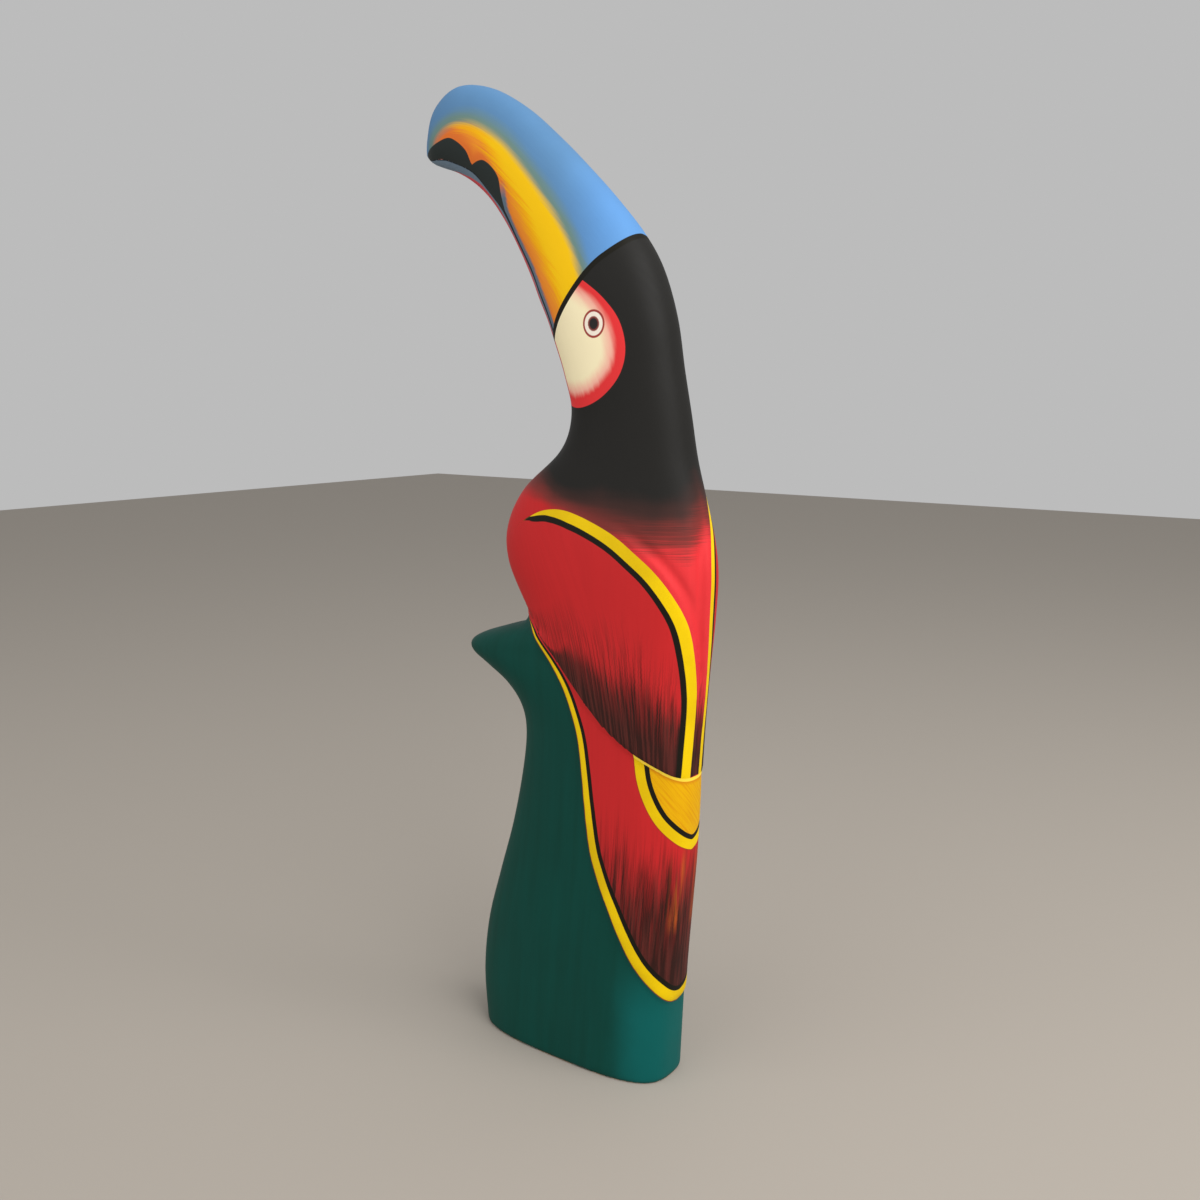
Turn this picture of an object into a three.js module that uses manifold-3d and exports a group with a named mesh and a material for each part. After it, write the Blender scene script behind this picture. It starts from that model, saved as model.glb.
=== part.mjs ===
// A painted toucan and the tree stump it perches on, carved together from one thick board.
// Millimetres, +Z up. The origin is the centre of the underside, the bird faces -Y, its left is +X.
import * as THREE from 'three';
import { mergeVertices } from 'three/addons/utils/BufferGeometryUtils.js';
import Module from 'manifold-3d';

// Driving dimensions
const HEIGHT = 500; // underside to the top of the bill
const BASE_LENGTH = 117; // underside, front to back
const BASE_HALF_WIDTH = 23.6;
const BASE_EDGE = 0.8; // worn rounding where the base meets the floor
const CHEST_HALF_WIDTH = 25.5;
const HEAD_HALF_WIDTH = 19.5;
const BILL_HALF_WIDTH = 14.5;
const TAIL_RELIEF = 1; // the tail stands this far off the stump
const MANTLE_DEPTH = 2.2; // the back between the wings lies this far below them
const MANTLE_SLOPE = [0.5, 6]; // where that hollow starts and ends, off the wing's edge
const MANTLE_SWELL = 0.4; // the share of its depth that the middle of the back rises again
const MANTLE_SWELL_SLOPE = [6, 18]; // and where that swelling starts and ends
const MANTLE_FADE = [270, 300]; // between these heights the hollow fades out on the shoulders
const GIRTH_PER_TURN = 40; // millimetres round the back of the body for one radian

// Mesh fineness
const BIRD_SIDES = 56;
const BIRD_ROWS = 50;
const STUMP_SIDES = 44;
const STUMP_ROWS = 40;
const BACK_CROWDING = 0.25; // the sides of a ring are closer together at the back
const OUTLINE_STEPS = 4; // straight steps between two given points of a curved outline

// Level sections of the stump, from the floor up: front and back edge, half width, squareness.
// The front runs out to the broken branch between 200 and 225 mm, and ends inside the bird.
const STUMP = [
  { z: 0, front: -BASE_LENGTH / 2, back: BASE_LENGTH / 2, half: BASE_HALF_WIDTH, square: 3.1 },
  { z: 30, front: -61, back: 60.2, half: 23.5, square: 3.0 },
  { z: 60, front: -58, back: 62.2, half: 23.2, square: 2.8 },
  { z: 90, front: -49.3, back: 64.8, half: 23, square: 2.7 },
  { z: 120, front: -40, back: 67.4, half: 22.8, square: 2.6 },
  { z: 150, front: -33.3, back: 69, half: 22.6, square: 2.5 },
  { z: 172, front: -30.6, back: 69.2, half: 22.4, square: 2.5 },
  { z: 186, front: -33.4, back: 69, half: 22.4, square: 2.6 },
  { z: 197, front: -43, back: 69, half: 22.3, square: 2.7 },
  { z: 205, front: -56.5, back: 69, half: 22.2, square: 2.8 },
  { z: 211, front: -67.5, back: 69, half: 22, square: 2.8 },
  { z: 216, front: -68, back: 69, half: 21.8, square: 2.8 },
  { z: 221, front: -59, back: 69, half: 22, square: 2.8 },
  { z: 226.5, front: -42.5, back: 69, half: 22.2, square: 2.6 },
  { z: 231, front: -30, back: 69, half: 22.4, square: 2.5 },
  { z: 241, front: -28, back: 69, half: 22.6, square: 2.4 },
  { z: 256, front: -33.5, back: 68, half: 22, square: 2.4 },
];

// Sections of the bird from the tail end of the wings to the tip of the bill. Each lies across the
// profile between a front and a back point, given as [y, z], and turns with the neck and the bill.
const BIRD = [
  { front: [-21, 150], back: [69.5, 150], half: 24, square: 2.6 },
  { front: [-21.5, 185], back: [71.7, 185], half: 24.2, square: 2.5 },
  { front: [-24, 213], back: [74.2, 213], half: 24.6, square: 2.4 },
  { front: [-30.3, 240], back: [76.6, 240], half: 25, square: 2.5 },
  { front: [-40.2, 262], back: [77.5, 262], half: CHEST_HALF_WIDTH, square: 2.6 },
  { front: [-41, 280], back: [75.5, 280], half: 25, square: 2.5 },
  { front: [-31, 299], back: [71.2, 299], half: 23, square: 2.3 },
  { front: [-7.3, 319], back: [66.2, 317], half: 20.5, square: 2.3 },
  { front: [-0.5, 337], back: [62.6, 337], half: 19, square: 2.3 },
  { front: [-4.6, 355], back: [58.5, 358], half: 19, square: 2.3 },
  { front: [-10.6, 371], back: [54.2, 382], half: HEAD_HALF_WIDTH, square: 2.3 },
  { front: [-14.7, 381], back: [46.4, 404.6], half: HEAD_HALF_WIDTH, square: 2.3 },
  { front: [-20, 391], back: [36.1, 421], half: 18.5, square: 2.3 },
  { front: [-25.8, 402], back: [21.1, 438], half: 16.5, square: 2.2 },
  { front: [-33.2, 415.5], back: [4.5, 454.1], half: 15.5, square: 2.2 },
  { front: [-42, 429.2], back: [-12.5, 469.3], half: BILL_HALF_WIDTH, square: 2.2 },
  { front: [-52.5, 441.8], back: [-32.3, 484.9], half: 13.5, square: 2.2 },
  { front: [-64, 451.1], back: [-53.6, 496.3], half: 12.5, square: 2.2 },
  { front: [-76, 457.6], back: [-74, HEIGHT - 0.2], half: 11, square: 2.2 },
  { front: [-87, 461.4], back: [-88.1, 492.9], half: 9, square: 2.2 },
  { front: [-94, 464.1], back: [-94.8, 481.2], half: 5.2, square: 2.2 },
  { front: [-99.2, 468], back: [-99.2, 470.4], half: 0.9, square: 2.2 },
];

// The back edges of the two wings: turn about the body in degrees from the spine, at each height.
// The right wing reaches nearly to the spine, the left one draws away from it over the shoulder.
const LEFT_WING_BACK = [
  [165, 6.2], [184, 5.4], [196, 5.7], [208.5, 8], [220, 12.3], [231.5, 18.3], [242.5, 25.7],
  [252, 36], [261, 46], [268, 54.5], [274, 63.3], [280, 71.7], [285, 80.5], [290, 93],
];
const RIGHT_WING_BACK = [
  [165, 4], [184, 5.5], [200, 6], [212, 5], [224, 3], [236, 1.2], [248, 0.2], [266, 0],
  [272, 1], [278, 2.8], [286, 5.8], [293, 8.8], [301, 10],
];

// The lower edge of the wings, seen from the side as [y, z], from before the breast to behind the back
const WING_FOOT = [
  [-60, 279], [-17, 235.4], [6, 212], [26.5, 191.3], [43, 179], [59, 170], [71, 163], [100, 150],
];

// The edge of the tail on the side of the stump, as [y, z], from the wing down to the tip
const TAIL_EDGE = [
  [-26, 238], [-12, 226], [3, 208.3], [11.8, 191], [16.6, 174], [19, 155], [20.8, 137],
  [23.9, 118.5], [30.3, 101], [38, 83.3], [46.5, 66], [54.5, 54.6], [60.5, 46.5],
];
const TAIL_TIP = [66, 41]; // where that edge leaves the back of the stump
const FAR_BACK = 100; // well behind the bird, where the outlines that cut it close

// Curves and sections

// A cubic through four neighbouring values, between the second and the third
function cubic(a, b, c, d, t) {
  const bend = (2 * a - 5 * b + 4 * c - d) * t * t + (3 * b - a - 3 * c + d) * t * t * t;
  return b + 0.5 * ((c - a) * t + bend);
}

// The row at a fractional place in a table of rows of numbers
function rowAt(rows, place) {
  const last = rows.length - 1;
  const i = Math.min(Math.floor(place), last - 1);
  const [b, c] = [rows[i], rows[i + 1]];
  const a = i > 0 ? rows[i - 1] : b.map((value, k) => 2 * value - c[k]);
  const d = i + 2 <= last ? rows[i + 2] : c.map((value, k) => 2 * value - b[k]);
  return b.map((value, k) => cubic(a[k], value, c[k], d[k], place - i));
}

const lerp = THREE.MathUtils.lerp;

// A value read off a table of [position, value] pairs
function readOff(pairs, position) {
  const i = Math.min(Math.max(pairs.findIndex(([p]) => p >= position), 1), pairs.length - 1);
  const [[p0, v0], [p1, v1]] = [pairs[i - 1], pairs[i]];
  return lerp(v0, v1, THREE.MathUtils.clamp((position - p0) / (p1 - p0), 0, 1));
}

// A point on a rounded section: angle 0 is the back, a quarter turn the left side
function onSection([frontY, frontZ, backY, backZ, half, square], angle) {
  const round = (value) => Math.sign(value) * Math.abs(value) ** (2 / square);
  const along = 0.5 + 0.5 * round(Math.cos(angle));
  return new THREE.Vector3(
    half * round(Math.sin(angle)),
    lerp(frontY, backY, along),
    lerp(frontZ, backZ, along),
  );
}

// A closed skin over rings of points, with a flat fan across each end
function skin(rings) {
  const sides = rings[0].length;
  const positions = rings.flat().flatMap((point) => point.toArray());
  const index = [];
  for (let r = 0; r + 1 < rings.length; r++) {
    for (let s = 0; s < sides; s++) {
      const [a, b] = [r * sides + s, r * sides + ((s + 1) % sides)];
      index.push(a, a + sides, b, b, a + sides, b + sides);
    }
  }
  [[0, false], [rings.length - 1, true]].forEach(([r, top]) => {
    const middle = rings[r].reduce((sum, point) => sum.add(point), new THREE.Vector3());
    positions.push(...middle.divideScalar(sides).toArray());
    const centre = positions.length / 3 - 1;
    for (let s = 0; s < sides; s++) {
      const [a, b] = [r * sides + s, r * sides + ((s + 1) % sides)];
      index.push(centre, top ? b : a, top ? a : b);
    }
  });
  const geometry = new THREE.BufferGeometry();
  geometry.setAttribute('position', new THREE.Float32BufferAttribute(positions, 3));
  geometry.setIndex(index);
  return geometry;
}

function ringAngles(sides) {
  return Array.from({ length: sides }, (_, s) => {
    const turn = (2 * Math.PI * s) / sides;
    return turn - BACK_CROWDING * Math.sin(turn);
  });
}

// The pieces of the carving

// The stump and broken branch; proud grows it all round, for the tail that lies on it
function stumpSkin(proud = 0) {
  const rows = STUMP.map(({ z, front, back, half, square }) => [
    front - proud, z, back + proud, z, half + proud, square,
  ]);
  const angles = ringAngles(STUMP_SIDES);
  const places = Array.from({ length: STUMP_ROWS }, (_, r) => (r * (rows.length - 1)) / (STUMP_ROWS - 1));
  const rings = places.map((place) => angles.map((angle) => onSection(rowAt(rows, place), angle)));
  if (proud > 0) return skin(rings);
  const [y0, z0, y1, z1, half, square] = rowAt(rows, 0);
  const worn = [y0 + BASE_EDGE, z0, y1 - BASE_EDGE, z1, half - BASE_EDGE, square];
  const foot = angles.map((angle) => onSection(worn, angle));
  rings[0].forEach((point) => point.setZ(BASE_EDGE));
  return skin([foot, ...rings]);
}

// How far the surface is sunk at a place on the body, between the back edges of the wings
function mantleHollow(point, angle) {
  const turn = THREE.MathUtils.radToDeg(Math.atan2(Math.sin(angle), Math.cos(angle)));
  const fromLeft = readOff(LEFT_WING_BACK, point.z) - turn;
  const fromRight = readOff(RIGHT_WING_BACK, point.z) + turn;
  const inside = THREE.MathUtils.degToRad(Math.min(fromLeft, fromRight)) * GIRTH_PER_TURN;
  const swell = 1 - MANTLE_SWELL * THREE.MathUtils.smoothstep(inside, ...MANTLE_SWELL_SLOPE);
  const fade = 1 - THREE.MathUtils.smoothstep(point.z, ...MANTLE_FADE);
  return MANTLE_DEPTH * fade * swell * THREE.MathUtils.smoothstep(inside, ...MANTLE_SLOPE);
}

function birdSkin() {
  const rows = BIRD.map(({ front, back, half, square }) => [...front, ...back, half, square]);
  const angles = ringAngles(BIRD_SIDES);
  const rings = [];
  for (let r = 0; r < BIRD_ROWS; r++) {
    const row = rowAt(rows, (r * (rows.length - 1)) / (BIRD_ROWS - 1));
    const middleY = (row[0] + row[2]) / 2;
    rings.push(angles.map((angle) => {
      const point = onSection(row, angle);
      const inward = new THREE.Vector3(-point.x / row[4], middleY - point.y, 0).normalize();
      return point.addScaledVector(inward, mantleHollow(point, angle));
    }));
  }
  return skin(rings);
}

// A slab right across the carving with the given outline, seen from the side as [y, z]
function slab(shape) {
  const width = 4 * CHEST_HALF_WIDTH;
  const sweep = { depth: width, bevelEnabled: false, curveSegments: OUTLINE_STEPS };
  const geometry = new THREE.ExtrudeGeometry(shape, sweep);
  geometry.translate(0, 0, -width / 2);
  const [x, y, z] = [0, 1, 2].map((k) => new THREE.Vector3().setComponent(k, 1));
  return geometry.applyMatrix4(new THREE.Matrix4().makeBasis(y, z, x));
}

function belowWings() {
  const foot = WING_FOOT.map(([y, z]) => new THREE.Vector2(y, z));
  const [first, last] = [foot[0], foot.at(-1)];
  const shape = new THREE.Shape([new THREE.Vector2(last.x, 0), new THREE.Vector2(first.x, 0), first]);
  shape.splineThru(foot.slice(1));
  return slab(shape);
}

function behindTailEdge() {
  const edge = TAIL_EDGE.map(([y, z]) => new THREE.Vector2(y, z));
  const tip = new THREE.Vector2(...TAIL_TIP);
  const behind = [new THREE.Vector2(FAR_BACK, tip.y), new THREE.Vector2(FAR_BACK, edge[0].y)];
  const shape = new THREE.Shape([...behind, edge[0]]);
  shape.splineThru(edge.slice(1));
  shape.lineTo(tip.x, tip.y);
  return slab(shape);
}

// Joining

const wasm = await Module();
wasm.setup();

function solid(geometry) {
  const bare = geometry.clone();
  bare.deleteAttribute('normal');
  bare.deleteAttribute('uv');
  const merged = mergeVertices(bare, 1e-4);
  const vertProperties = new Float32Array(merged.attributes.position.array);
  const triVerts = new Uint32Array(merged.index.array);
  return new wasm.Manifold(new wasm.Mesh({ numProp: 3, vertProperties, triVerts }));
}

function geometryOf(body) {
  const { vertProperties, triVerts } = body.getMesh();
  const geometry = new THREE.BufferGeometry();
  geometry.setAttribute('position', new THREE.BufferAttribute(new Float32Array(vertProperties), 3));
  geometry.setIndex(new THREE.BufferAttribute(new Uint32Array(triVerts), 1));
  geometry.computeVertexNormals();
  return geometry;
}

function toucan() {
  const tail = solid(stumpSkin(TAIL_RELIEF)).intersect(solid(behindTailEdge()));
  const bird = solid(birdSkin()).subtract(solid(belowWings()));
  const body = solid(stumpSkin()).add(tail).add(bird);
  const paint = new THREE.MeshStandardMaterial({ color: 0xb02a2a, roughness: 0.45, metalness: 0 });
  const mesh = new THREE.Mesh(geometryOf(body), paint);
  mesh.name = 'toucan';
  return mesh;
}

const carving = new THREE.Group();
carving.add(toucan());

export default carving;
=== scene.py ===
"""A painted wooden toucan on a tree stump, carved from one board, with its paint and a plain stage.

The carving's sections and painted lines are in millimetres; meshes and lights are in metres.
The bird faces -Y and its left side is +X. Its right wing reaches nearer to the spine than its left one,
and has a narrower stripe there. Apart from that both sides are alike.
"""

import bmesh
import bpy
import numpy as np
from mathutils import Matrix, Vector
from mathutils.bvhtree import BVHTree


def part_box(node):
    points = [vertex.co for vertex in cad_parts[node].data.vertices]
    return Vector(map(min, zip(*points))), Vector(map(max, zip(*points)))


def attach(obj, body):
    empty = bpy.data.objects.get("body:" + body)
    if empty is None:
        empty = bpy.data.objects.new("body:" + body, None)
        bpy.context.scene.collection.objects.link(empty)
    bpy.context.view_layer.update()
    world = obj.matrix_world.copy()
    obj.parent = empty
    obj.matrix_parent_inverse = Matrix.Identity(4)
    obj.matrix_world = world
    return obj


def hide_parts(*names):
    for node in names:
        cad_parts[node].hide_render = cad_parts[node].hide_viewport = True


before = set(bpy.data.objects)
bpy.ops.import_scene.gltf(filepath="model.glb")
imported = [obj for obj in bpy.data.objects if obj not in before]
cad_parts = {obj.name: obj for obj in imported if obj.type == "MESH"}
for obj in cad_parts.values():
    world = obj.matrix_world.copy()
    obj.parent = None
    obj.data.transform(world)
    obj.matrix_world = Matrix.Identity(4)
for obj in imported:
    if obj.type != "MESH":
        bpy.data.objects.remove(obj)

bl_info = {
    "name": "Painted Toucan Carving",
    "version": (1, 0, 0),
    "blender": (4, 5, 0),
    "location": "View3D > Sidebar > Toucan",
    "description": "A toucan on a stump, carved from one board and painted by hand",
    "category": "Add Mesh",
}

NODE = "toucan"
MM = 0.001

# The shape

# Level sections of the stump: front, height, back, height, half width, squareness
STUMP = [
    (-58.5, 0, 58.5, 0, 23.6, 3.1),
    (-61, 30, 60.2, 30, 23.5, 3.0),
    (-58, 60, 62.2, 60, 23.2, 2.8),
    (-49.3, 90, 64.8, 90, 23, 2.7),
    (-40, 120, 67.4, 120, 22.8, 2.6),
    (-33.3, 150, 69, 150, 22.6, 2.5),
    (-30.6, 172, 69.2, 172, 22.4, 2.5),
    (-33.4, 186, 69, 186, 22.4, 2.6),
    (-43, 197, 69, 197, 22.3, 2.7),
    (-56.5, 205, 69, 205, 22.2, 2.8),
    (-67.5, 211, 69, 211, 22, 2.8),
    (-68, 216, 69, 216, 21.8, 2.8),
    (-59, 221, 69, 221, 22, 2.8),
    (-42.5, 226.5, 69, 226.5, 22.2, 2.6),
    (-30, 231, 69, 231, 22.4, 2.5),
    (-28, 241, 69, 241, 22.6, 2.4),
    (-33.5, 256, 68, 256, 22, 2.4),
]

# Sections of the bird from the foot of the wings to the tip of the bill:
# front y and z, back y and z, half width, squareness
BIRD = [
    (-21, 150, 69.5, 150, 24, 2.6),
    (-21.5, 185, 71.7, 185, 24.2, 2.5),
    (-24, 213, 74.2, 213, 24.6, 2.4),
    (-30.3, 240, 76.6, 240, 25, 2.5),
    (-40.2, 262, 77.5, 262, 25.5, 2.6),
    (-41, 280, 75.5, 280, 25, 2.5),
    (-31, 299, 71.2, 299, 23, 2.3),
    (-7.3, 319, 66.2, 317, 20.5, 2.3),
    (-0.5, 337, 62.6, 337, 19, 2.3),
    (-4.6, 355, 58.5, 358, 19, 2.3),
    (-10.6, 371, 54.2, 382, 19.5, 2.3),
    (-14.7, 381, 46.4, 404.6, 19.5, 2.3),
    (-20, 391, 36.1, 421, 18.5, 2.3),
    (-25.8, 402, 21.1, 438, 16.5, 2.2),
    (-33.2, 415.5, 4.5, 454.1, 15.5, 2.2),
    (-42, 429.2, -12.5, 469.3, 14.5, 2.2),
    (-52.5, 441.8, -32.3, 484.9, 13.5, 2.2),
    (-64, 451.1, -53.6, 496.3, 12.5, 2.2),
    (-76, 457.6, -74, 499.8, 11, 2.2),
    (-87, 461.4, -88.1, 492.9, 9, 2.2),
    (-94, 464.1, -94.8, 481.2, 5.2, 2.2),
    (-99.2, 468, -99.2, 470.4, 0.9, 2.2),
]

# The back edges of the two wings: height, and turn about the body in degrees from the spine
LEFT_WING_BACK = [
    (165, 6.2), (184, 5.4), (196, 5.7), (208.5, 8), (220, 12.3), (231.5, 18.3), (242.5, 25.7),
    (252, 36), (261, 46), (268, 54.5), (274, 63.3), (280, 71.7), (285, 80.5), (290, 93),
]
RIGHT_WING_BACK = [
    (165, 4), (184, 5.5), (200, 6), (212, 5), (224, 3), (236, 1.2), (248, 0.2), (266, 0),
    (272, 1), (278, 2.8), (286, 5.8), (293, 8.8), (301, 10),
]

# Edges that are cut right across the board, seen from the side as (y, z)
WING_FOOT = [
    (-60, 279), (-17, 235.4), (6, 212), (26.5, 191.3), (43, 179), (59, 170), (71, 163), (100, 150),
]
TAIL_EDGE = [
    (-26, 238), (-12, 226), (3, 208.3), (11.8, 191), (16.6, 174), (19, 155), (20.8, 137),
    (23.9, 118.5), (30.3, 101), (38, 83.3), (46.5, 66), (54.5, 54.6), (60.5, 46.5), (66, 41),
]
# A y behind all of the carving, and an x beside all of it
FAR_BACK = 100
SLAB_HALF = 51

# How far the underside's edge is worn, and how proud of the stump the tail stands
BASE_EDGE = 0.8
TAIL_PROUD = 1
# How deep the mantle lies between the wings, its slope in from their edges, the share by which its middle
# swells and where, and the heights over which all that fades
MANTLE_DEPTH = 2.2
MANTLE_SLOPE = (0.5, 6)
MANTLE_SWELL = 0.4
MANTLE_SWELL_SLOPE = (6, 18)
MANTLE_FADE = (270, 300)
# Millimetres round the body for each radian of turn
GIRTH_PER_TURN = 40
SIDES = 144
# How much a ring's sides crowd at its back
BACK_CROWDING = 0.25
RINGS_PER_SECTION = 12
MOST_TRIANGLES = 199000
# Spacings of the points along a cut edge, a line seen from the side and a line on the surface
CUT_SPACING = 4
SIDE_SPACING = 2
LAID_SPACING = 1.6
# Points below the first height are laid flat, and below the second they are bare wood
FLOOR_SNAP = 0.3
UNDERSIDE = 0.25
# How many points are measured against a line at once
BATCH = 4000

# Painted lines as (y, z) seen from the left side, or as (x, y, z) near the spine
LEFT_STRIPE = [
    (21, -18.3, 284.7), (21.7, -14.5, 286.7), (22.4, -7.6, 290), (23.3, 2.7, 291.6), (23.8, 10.4, 291),
    (24.2, 20.2, 288.5), (24.3, 30.6, 284.8), (24, 40.2, 280.3), (23.2, 48.9, 273.8), (21.7, 56.8, 267.8),
    (19.7, 63.3, 260.6), (16.7, 68.7, 252.2), (12.9, 72.5, 242.6), (9.7, 73.8, 231.9), (6.9, 73.9, 220.4),
    (4.7, 73.4, 208.4), (3.7, 72.5, 196.2), (3.7, 71.5, 183.8), (4.2, 70.3, 166.7), (4.6, 70, 155),
]
RIGHT_STRIPE = [
    (-21, -18.3, 284.7), (-21.7, -14.5, 286.7), (-22.6, -6.5, 291), (-23.2, 6, 295.4), (-23, 18, 298.4),
    (-22.4, 30, 300.8), (-21, 42, 302.6), (-18.4, 52, 303.8), (-14.9, 60, 304), (-10.8, 65.6, 303),
    (-7.6, 69, 300.2), (-5.5, 72.1, 292.8), (-3.9, 74.1, 285.6), (-2.2, 75.7, 278.3), (-0.7, 76.8, 271),
    (0, 77.3, 263.6), (0, 77.3, 256), (-0.2, 77.1, 248.2), (-0.6, 76.6, 240.4), (-1.3, 76, 232.7),
    (-2.1, 75.2, 224.6), (-2.9, 74.4, 216.6), (-3.6, 73.6, 208.4), (-3.9, 72.8, 200.3), (-3.9, 72.1, 192),
    (-3.6, 71.5, 184.2), (-3.4, 70.9, 175.7), (-3.1, 70.5, 167.8), (-3, 70, 155),
]
TAIL_LINE = [
    (-26, 238), (-17, 230.8), (-9, 223), (-2.5, 215), (3.2, 208.1), (6.8, 202.6), (9.6, 196.9), (11.9, 191),
    (14.1, 185.3), (15.7, 179.4), (16.8, 173.5), (17.6, 167.2), (18.3, 161.2), (19, 155.4), (19.6, 149.1),
    (20.3, 143.1), (21.1, 136.7), (21.9, 130.6), (22.8, 124.5), (24.1, 118.5), (25.9, 112.7), (28.1, 106.8),
    (30.4, 100.9), (33, 95), (35.5, 89.2), (38, 83.3), (40.6, 77.4), (43.4, 71.5), (46.8, 65.7), (50.8, 59.8),
    (55.4, 53.9), (59.5, 48.1), (60.9, 44.8),
]
TAIL_END = (0, 61, 43.2)
RUMP_LINE = [
    (48.2, 178), (48.6, 171), (49.5, 162.8), (52, 154.1), (57.2, 143.1), (61.8, 136.7), (66.4, 130.6),
    (68.3, 127.2),
]
RUMP_END = (0, 68, 125.6)
BILL_LINE = [
    (36.5, 418), (34.4, 415.9), (28.5, 411.4), (22.4, 407.2), (16.3, 401.1), (9.4, 393.9),
    (3.7, 387.2), (-1.6, 381), (-5.8, 374.7), (-8.6, 371.5),
]
BILL_LINE_TOP = (0, 38, 420)
BILL_LINE_END = (0, -10.4, 369)
BLEND_LINE = [
    (-91, 465), (-89.5, 469.5), (-86.9, 473.6), (-84, 476.5), (-80.6, 478), (-72.8, 481), (-64, 481.2),
    (-55.1, 479.4), (-44.9, 474.3), (-34.8, 467.4), (-26.2, 458.8), (-11.4, 443), (0.3, 428.8), (9.3, 415.8),
    (15.7, 403), (20, 392),
]
GOLD_LINE = [
    (-84, 485), (-74, 481), (-64.5, 477.2), (-56, 473.6), (-49.1, 467.6), (-41.1, 457.7), (-27.9, 439.6),
    (-16.8, 420.4), (-4.3, 400.1), (2.5, 388.1), (9, 376),
]
PATCH_TOP = [
    (-97.5, 466.8), (-95.8, 468.8), (-85.5, 472), (-75.5, 473.5), (-68.8, 471.2), (-61.9, 465.7),
    (-58.9, 458.8),
]
PATCH_BACK = [
    (-58.9, 458.8), (-54.3, 460.1), (-49.7, 460), (-44.1, 456.4), (-39.5, 450.5), (-38.5, 442.9),
    (-37, 433.5),
]
GAPE_LINE = [
    (-97.5, 466.8), (-93.6, 465.7), (-82.2, 464.4), (-70.6, 460.8), (-58.6, 455.3), (-50.4, 447.2),
    (-43.4, 440.4), (-39, 436.2), (-30.3, 420.9), (-19.4, 403.6), (-10.9, 388.5), (-5.9, 376.5),
]
PATCH_LOW_COUNT = 8
FACE_LINE = [
    (8, 402.5), (13.5, 400.8), (18.1, 398), (27.2, 391.7), (33.6, 385.2), (38.1, 378), (40.3, 368.1),
    (39.6, 360.7), (36.1, 353.1), (28.1, 345.3), (20.2, 341.5), (12.7, 339.9), (5.6, 340.4),
]
FACE_END = (0, -1.5, 344)
EYE = (23.2, 378.9)
EYE_RING = 6.15
EYE_HEIGHT = 1.065
EYE_LINE = 1.0
PUPIL = 2.5
PUPIL_RIM = 3.25

# Widths of the painted bands, as values at places along y or z
STRIPE_YELLOW = ([-15, -11, -7, -3, 0, 5, 11, 35], [0, 1.1, 1.9, 2.6, 3.4, 4.4, 5.2, 5.9])
STRIPE_BLACK = ([-19, -16, -13, -9, -3, 35], [0, 1.3, 2.4, 3, 3.2, 2.9])
# The right wing's stripe is narrower where it runs beside the spine
RIGHT_YELLOW = ([*STRIPE_YELLOW[0], 55, 70], [*STRIPE_YELLOW[1], 4.6, 3.1])
RIGHT_BLACK = ([*STRIPE_BLACK[0], 70], [*STRIPE_BLACK[1], 1.9])
TAIL_YELLOW = (
    [44, 80, 110, 155, 180, 198, 209, 217, 229, 234],
    [5.6, 5.4, 4.7, 3.6, 3.2, 2.8, 2.3, 1.8, 0.9, 0],
)
TAIL_BLACK = ([44, 155, 180, 209, 229, 234], [2.5, 2.4, 2.2, 1.8, 1.2, 0.6])
RUMP_YELLOW = 4.9
RUMP_BLACK = 2.5
# How far the black line between head and bill reaches to either side of its middle
BILL_BLACK = (1, 1.8)
GAPE_HALF = ([-60, -38, -6], [0.6, 1, 0.85])

# The brown strokes that rise from the wings' foot: the heights of their mass and its hairs, and their lean
STROKE_RISE = ([-20, -6, -1, 4, 10, 23, 34, 45, 70], [0.5, 0.8, 2.4, 7, 15.5, 25, 29, 34, 35])
HAIR_RISE = ([-20, -12, -1, 10, 23, 34, 45, 70], [2, 9, 24, 42, 49, 57, 61, 57])
# Their height on the mantle, which lies behind this y
MANTLE_RISE = 38
MANTLE_FRONT = 30
STROKE_LEAN = ([-5, 30, 62], [0.55, 0.26, 0.03])
STROKE_LEAN_TOP = 60
# The share of x that keeps the strokes from being alike on both sides
SIDES_APART = 0.6
# The heights on the tail where they start, where their mass ends and where the hairs end
TAIL_STROKES = (45, 117, 140)
# The height where the black of the neck turns to red, along the body
NECK_FADE = (
    [-20, -8, 1, 8, 18, 27, 36, 51, 58, 64, 72],
    [305, 301.7, 296.7, 295.1, 291.9, 289.6, 287.1, 284.8, 283.6, 284.5, 283],
)
# How much higher it lies at the spine, and out to which distance from it
NECK_PEAK = 11.4
NECK_PEAK_HALF = 12
# How quickly it changes, along the body
NECK_CRISP = ([-12, 0, 8, 18, 30, 56, 72], [1.4, 1.8, 2, 1.6, 1.05, 1, 0.8])
# Half width of the red strip under the bill, as a share of the bill's, along y
KEEL_SHARE = ([-84, -76, -64, -56], [0, 0.3, 0.52, 0.62])
# The rim and the groove along the wings' back edges: height, distance from the edge, and breadth
WING_RIM = (0.5, 2.4, 1.3)
WING_GROOVE = (-0.75, 6.4, 1.9)
# They fade in along y and above the foot, and fade out at the shoulder
RIM_FROM_FRONT = (12, 34)
RIM_FROM_FOOT = (165, 176)
RIM_TO_SHOULDER = (270, 291)


def srgb(red, green, blue):
    """A paint colour from its 0 to 255 values, as a linear colour."""
    shares = [value / 255 for value in (red, green, blue)]
    return tuple(s / 12.92 if s <= 0.04045 else ((s + 0.055) / 1.055) ** 2.4 for s in shares)


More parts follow.
